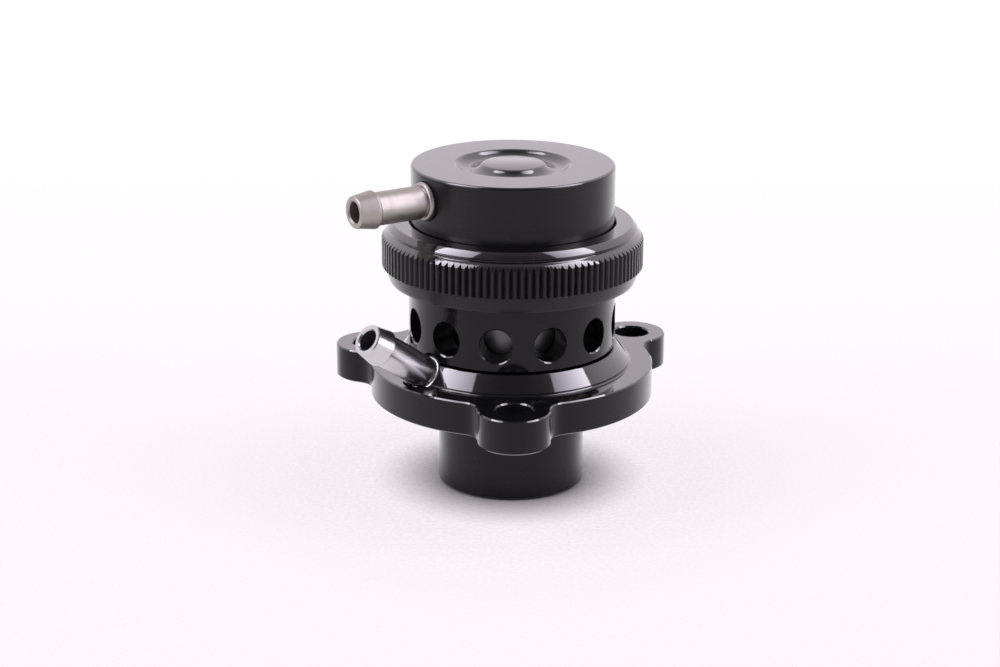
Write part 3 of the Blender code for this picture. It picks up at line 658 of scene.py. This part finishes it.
# %% Turn the cap and sink the nipple's port
COVE_IN, COVE_OUT, COVE_DEPTH, CAP_TOP = 5.6, 10.4, 1.2, 59.9
half_cove = (COVE_OUT - COVE_IN) / 2
cove_radius = (half_cove**2 + COVE_DEPTH**2) / (2 * COVE_DEPTH)
half_angle = math.degrees(math.asin(half_cove / cove_radius))
cove_middle, cove_centre = (COVE_IN + COVE_OUT) / 2, CAP_TOP - COVE_DEPTH + cove_radius
cove = arc(cove_middle, cove_centre, cove_radius, 270 - half_angle, 270 + half_angle, 20)
cap = turn("cap_machined", [
    (0, CAP_TOP),
    (COVE_IN - 0.25, CAP_TOP),
    (COVE_IN - 0.08, CAP_TOP - 0.05),
    *cove[1:-1],
    (COVE_OUT + 0.08, CAP_TOP - 0.05),
    (COVE_OUT + 0.25, CAP_TOP),
    *arc(17.9, CAP_TOP - 0.5, 0.5, 90, 0, 8),
    (18.4, 47.1),
    (20.8, 47.1),
    (21, 46.9),
    (21, 45.3),
    (20.8, 45.1),
    (14.1, 45.1),
    (13.9, 45.3),
    (13.9, 56.2),
    (7.2, 56.2),
    (7.2, 55.1),
    (7.0, 54.9),
    (0, 54.9),
], 320, closed=False)
boolean(cap, port(3.6, 5.3, CAP_PORT))
finish_piece(cap, "cap", "black_anodised", black_cap, "top_cap")

# %% [markdown]
# ## The hose nipples
# Each is a barbed tube with a rounded collar that presses its washer into the spot face.
# The barb is a cone with a sharp back edge: hose slides on easily and doesn't come off.


# %% Turn both nipples
def nipple(name, reach, place):
    piece = turn(name, [
        (1.9, -2.2),
        (2.0, -2.2),
        (2.2, -2.0),
        (2.2, 0.7),
        (2.75, 0.7),
        *arc(2.95, 1.25, 0.55, -90, 90, 12),
        (2.7, 1.8),
        (2.62, 1.9),
        (2.62, 2.2),
        (2.75, 2.35),
        (2.93, 2.4),
        (2.95, 2.5),
        (2.95, reach - 4.15),
        (3.0, reach - 4.1),
        (3.34, reach - 3.85),
        (3.4, reach - 3.75),
        (3.4, reach - 3.45),
        (3.36, reach - 3.3),
        (2.86, reach - 0.16),
        (2.7, reach),
        (2.12, reach),
        (1.9, reach - 0.3),
    ], 96, True, Vector((0, 0, 0)))
    return stand(piece, place)


upper = nipple("cap_hose_nipple", 15.3, CAP_PORT)
finish_piece(upper, "cap", "satin_steel", satin_steel, "cap_nipple")
lower = nipple("base_hose_nipple", 17.1, BASE_PORT)
finish_piece(lower, "base", "bright_steel", bright_steel, "base_nipple")

# %% [markdown]
# ## Inside the valve
# The piston shows through the vents and its nose through the spigot, and it lifts when the valve opens.
# The spring stands inside its cup.  It is drawn as one line that winds up, given a round section, and
# made a mesh.

# %% Piston
cup = turn("piston_cup", [
    (12.7, 26.9),
    (13.1, 26.9),
    (13.4, 27.2),
    (13.4, 35.1),
    (12.2, 35.1),
    (12.2, 36.7),
    (13.4, 36.7),
    (13.4, 37.1),
    (12.2, 37.1),
    (12.2, 38.7),
    (13.4, 38.7),
    (13.4, 41.7),
    (13.1, 42),
    (11.8, 42),
    (11.6, 41.8),
    (11.6, 30.9),
    (11.2, 30.5),
    (2, 30.5),
    (2, 28.3),
    (12.7, 28.3),
], 160)
finish_piece(cup, "piston", "grey_anodised", grey_alloy, "piston")

# %% Nose: retainer and sunk screw
retainer = turn("nose_disc", [
    (3.8, 25.1),
    (9.5, 25.1),
    (9.8, 25.4),
    (9.8, 26.3),
    (6.7, 26.3),
    (6.7, 28),
    (2, 28),
    (2, 26.9),
], 128)
finish_piece(retainer, "piston", "grey_anodised", grey_alloy, "nose_retainer")
screw = turn("nose_bolt", [
    (0, 25.4),
    (3.05, 25.4),
    (3.2, 25.52),
    (1.72, 27.0),
    (1.7, 27.1),
    (1.7, 30.1),
    (0, 30.1),
], 64, closed=False)
bpy.ops.object.select_all(action="DESELECT")
socket_foot = AXIS + Vector((0, 0, 25.4 * MM))
bpy.ops.mesh.primitive_cylinder_add(vertices=6, radius=1.4 * MM, depth=2.2 * MM, location=socket_foot)
boolean(screw, bpy.context.object)
finish_piece(screw, "piston", "bright_steel", bright_steel, "nose_screw")

# %% Spring
WIRE, COIL, TURNS, END_PITCH = 0.8, 9.6, 7, 1.78
SPRING_FOOT, SPRING_TOP, STROKE = 30.8, 54.1, joints["piston_stroke"]["range_m"][1] / MM
first, last = SPRING_FOOT + WIRE, SPRING_TOP - WIRE
open_pitch = (last - first - 2 * END_PITCH) / (TURNS - 2)
path = bpy.data.curves.new("coil", "CURVE")
path.dimensions = "3D"
path.bevel_depth = WIRE * MM
path.bevel_resolution = 4
path.use_fill_caps = True
line = path.splines.new("POLY")
line.points.add(TURNS * 48)
for i, point in enumerate(line.points):
    wound = i / 48
    lift = first + END_PITCH * min(wound, 1) + open_pitch * max(0, min(wound - 1, TURNS - 2))
    lift += END_PITCH * max(0, wound - TURNS + 1)
    angle = math.tau * wound
    point.co = (AXIS.x + COIL * MM * math.cos(angle), AXIS.y + COIL * MM * math.sin(angle), lift * MM, 1.0)
spring = bpy.data.objects.new("coil_spring", path)
bpy.context.scene.collection.objects.link(spring)
choose(spring)
bpy.ops.object.convert(target="MESH")
spring = finish_piece(bpy.context.object, "base", "spring_steel", wire_steel, "return_spring")
SPRING_TOP * MM
1 - STROKE / (SPRING_TOP - SPRING_FOOT)
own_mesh(spring)

# %% [markdown]
# ## Rings and washers
# The rubber rings, the nylon washers and the shim already have the right shape in the CAD, so they only
# get a finish.

# %% Dress the CAD pieces that stay
for node, material in {
    "flange_o_ring": rubber,
    "body_o_ring": rubber,
    "cap_o_ring": rubber,
    "cap_nipple_seal": rubber,
    "base_nipple_seal": rubber,
    "piston_o_ring_lower": rubber,
    "piston_o_ring_upper": rubber,
    "nose_seal": rubber,
    "slip_washer": nylon,
    "spring_seat": nylon,
    "preload_shim": wire_steel,
}.items():
    piece = frame["nodes"][node]
    piece.data.materials.clear()
    piece.data.materials.append(material)
print("CAD pieces dressed in their own finish")

# %% [markdown]
# ## The table
# The valve stands on white leather.  The lamps alone would leave the leather grey, and stronger ones
# would bleach the steel.  So the camera and every gloss see it as an even white glow with faint creases,
# and the lit leather shows only in the valve's own shade, which an Ambient Occlusion node finds.  The
# same node also darkens the leather's colour at the valve's foot, which paints in a shade.


# %% White table with a faint leather grain
def table_finish():
    """White leather that a camera and a gloss see as a white backdrop, save where the valve shades it."""
    finish = Finish("white_leather")
    place = finish.place()
    grain = finish.noise(place, 900.0, 3.0, 0.55) * 0.7 + finish.noise(place, 160.0, 3.0) * 0.5
    near_valve = 1 - finish.polar()[0].step(18.0, 70.0)
    creases = finish.noise(place, 1300.0, 2.0, 0.6).step(0.3, 0.7) * near_valve
    shaded = finish.node("ShaderNodeAmbientOcclusion", {"samples": 3}, {"Distance": 13.0 * MM})
    open_sky = Value(finish, shaded.outputs["AO"])
    # Where Ambient Occlusion finds the valve close by, the leather's colour darkens towards a painted
    # shade.
    painted_shade, in_light = (0.16, 0.145, 0.14), (0.94, 0.905, 0.895)
    finish.set(
        Base_Color=finish.blend(open_sky.step(0.5, 0.95), painted_shade, in_light),
        Roughness=0.6,
        Specular_IOR_Level=0.25,
    )
    finish.bump(grain, strength=1.0, depth=0.4)

    far_off = finish.along(place, (0, 1, 0)).step(-0.1, 0.3)
    white = finish.blend(far_off, (0.965, 0.905, 0.94), (1.0, 0.985, 1.0))
    creased = finish.node(
        "ShaderNodeVectorMath",
        {"operation": "SCALE"},
        {0: white, "Scale": 1.03 - creases * 0.1},
    ).outputs[0]
    glow = finish.node("ShaderNodeEmission", {}, {"Color": creased, "Strength": 1.0}).outputs[0]
    diffuse_ray = Value(finish, finish.node("ShaderNodeLightPath", {}, {}).outputs["Is Diffuse Ray"])
    share = (1 - diffuse_ray) * open_sky.step(0.6, 0.95) * (far_off * 0.12 + 0.84)
    mixed = finish.node("ShaderNodeMixShader", {}, {0: share, 1: finish.shader.outputs[0], 2: glow})
    finish.feed(finish.tree.nodes["Material Output"].inputs["Surface"], mixed.outputs[0])
    return finish.material


bpy.ops.object.select_all(action="DESELECT")
bpy.ops.mesh.primitive_plane_add(size=8.0, location=(0, 0, 0))
table = bpy.context.object
table.name = "table"
table.data.materials.append(table_finish())
print("table:", table.data.materials[0].name)


# %% [markdown]
# ## Lamps and room
# Black gloss shows nothing but its surroundings, so the lamps are placed by where their reflections lie
# on the cone: two tall soft lamps, to the front left and the front right, with tops that lean back over
# the valve.  Each fades towards the front, which gives its reflection one crisp and one soft edge.  The
# room is white behind and dark in front, which keeps the bevels between the two reflections black.

# %% Lamps
LAMP_AWAY, LAMP_WIDTH, LAMP_LENGTH, LAMP_LIFT = 1.0, 0.6, 1.74, 0.48
LAMP_POWER, LAMP_COLOUR = 13.5, (0.93, 0.88, 1.0)


def strip_lamp(name, azimuth, rise, lean, start_glow, end_glow):
    """A tall soft lamp that faces the valve.  Its top leans over, and its glow fades across its width."""
    light = bpy.data.lights.new(name, "AREA")
    light.shape = "RECTANGLE"
    light.size = LAMP_WIDTH
    light.size_y = LAMP_LENGTH
    light.energy = LAMP_POWER
    light.color = LAMP_COLOUR
    light.use_nodes = True
    nodes = Nodes(light.node_tree)
    spot = nodes.node("ShaderNodeNewGeometry", {}, {}).outputs["Parametric"]
    across = Value(nodes, nodes.node("ShaderNodeSeparateXYZ", {}, {0: spot}).outputs["X"])
    emission = light.node_tree.nodes["Emission"]
    nodes.feed(emission.inputs["Strength"], across * (end_glow - start_glow) + start_glow)
    lamp = bpy.data.objects.new(name, light)
    lamp.matrix_world = (
        outward(azimuth, rise, 0.0, 40.0)
        @ Matrix.Translation((0, 0, LAMP_AWAY))
        @ Matrix.Rotation(math.radians(lean), 4, "Z")
        @ Matrix.Translation((0, LAMP_LIFT, 0))
    )
    bpy.context.scene.collection.objects.link(lamp)
    print(f"{name}: {LAMP_WIDTH} m by {LAMP_LENGTH} m, {LAMP_POWER} W")


strip_lamp("lamp_left", -61.0, 22.0, 19.5, 1.5, 0.55)
strip_lamp("lamp_right", 65.0, 24.0, -20.5, 0.4, 1.5)

# %% The room: white behind, greyer beside and overhead, dark in front
FRONT_LEVEL, OVERHEAD_LEVEL, DIFFUSE_LEVEL = 0.1, 0.35, 0.25
world = bpy.data.worlds.new("room")
bpy.context.scene.world = world
world.use_nodes = True
room = Nodes(world.node_tree)
seen = room.node("ShaderNodeTexCoord", {}, {}).outputs["Generated"]
parts = room.node("ShaderNodeSeparateXYZ", {}, {0: seen}).outputs
rays = room.node("ShaderNodeLightPath", {}, {}).outputs
behind = Value(room, parts["Y"]).step(-0.5, 0.4) * (1 - FRONT_LEVEL) + FRONT_LEVEL
below_ceiling = 1 - Value(room, parts["Z"]).step(0.8, 1.0) * (1 - OVERHEAD_LEVEL)
dimmed = 1 - Value(room, rays["Is Diffuse Ray"]) * (1 - DIFFUSE_LEVEL)
level = (behind * below_ceiling * dimmed).math("MAXIMUM", rays["Is Camera Ray"])
backdrop = world.node_tree.nodes["Background"]
room.feed(backdrop.inputs["Strength"], level)
room.feed(backdrop.inputs["Color"], (1.0, 0.92, 0.99, 1.0))
print("room: front", FRONT_LEVEL, "overhead", OVERHEAD_LEVEL, "behind 1.0")

# %% [markdown]
# ## Camera
# It repeats the photograph's angle: 18 degrees down, about 40 cm away, a lens of 82 mm.  A long lens
# from far off keeps the rims' ellipses flat and alike; a short one close by would swell the near lug.

# %% Camera
CAMERA_AZIMUTH, CAMERA_AWAY, CAMERA_HEIGHT = -1.11, 397.7, 157.83
CAMERA_PAN, CAMERA_TILT, CAMERA_ROLL = -0.01393, 0.316343, 0.006328
lens = bpy.data.cameras.new("camera")
lens.sensor_width = 36.0
lens.lens = 81.97
camera = bpy.data.objects.new("camera", lens)
bpy.context.scene.collection.objects.link(camera)
stand_off = AXIS + heading(CAMERA_AZIMUTH) * CAMERA_AWAY * MM + Vector((0, 0, CAMERA_HEIGHT * MM))
camera.matrix_world = (
    Matrix.Translation(stand_off)
    @ Matrix.Rotation(CAMERA_PAN, 4, "Z")
    @ Matrix.Rotation(math.pi / 2 - CAMERA_TILT, 4, "X")
    @ Matrix.Rotation(CAMERA_ROLL, 4, "Z")
)
bpy.context.scene.camera = camera
bpy.context.scene.view_settings.view_transform = "Standard"
print("the camera looks", round(math.degrees(CAMERA_TILT)), "degrees down")
